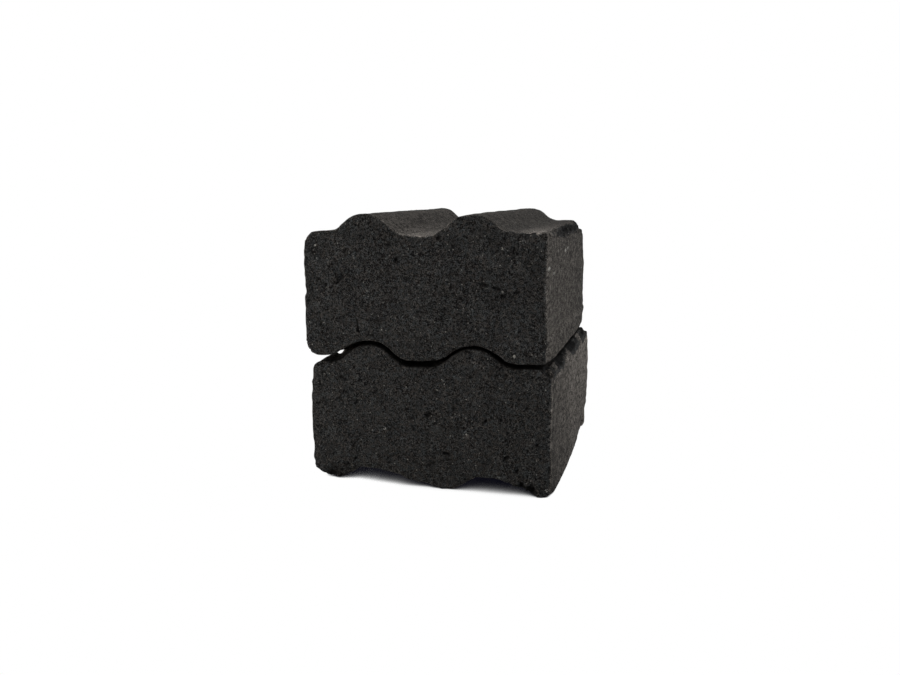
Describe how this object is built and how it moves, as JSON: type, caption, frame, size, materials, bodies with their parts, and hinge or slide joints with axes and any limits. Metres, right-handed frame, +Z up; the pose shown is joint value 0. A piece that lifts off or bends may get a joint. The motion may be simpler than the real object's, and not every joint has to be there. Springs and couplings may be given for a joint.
{
  "type": "compressed charcoal block",
  "caption": "Chunky blocks of black pressed drawing charcoal with waved broad faces, stacked loose with their waves nested; the upper block lifts off.",
  "frame": {"origin": "middle of the stack's footprint, on the surface that the lower block stands on", "axes": "+Z up, the way the upper block lifts off; +Y along the flutes, into the depth; +X across the flutes, to the right seen from the front, which faces -Y"},
  "size_m": [0.036, 0.04, 0.0386],
  "materials": {
    "pressed_charcoal": "matte"
  },
  "bodies": {
    "lower": {"lower_block": "pressed_charcoal"},
    "upper": {"upper_block": "pressed_charcoal"}
  },
  "joints": [
    {"name": "lift_off", "type": "slide", "parent": "lower", "child": "upper", "axis": [0, 0, 1], "range_m": [0, 0.03]}
  ]
}
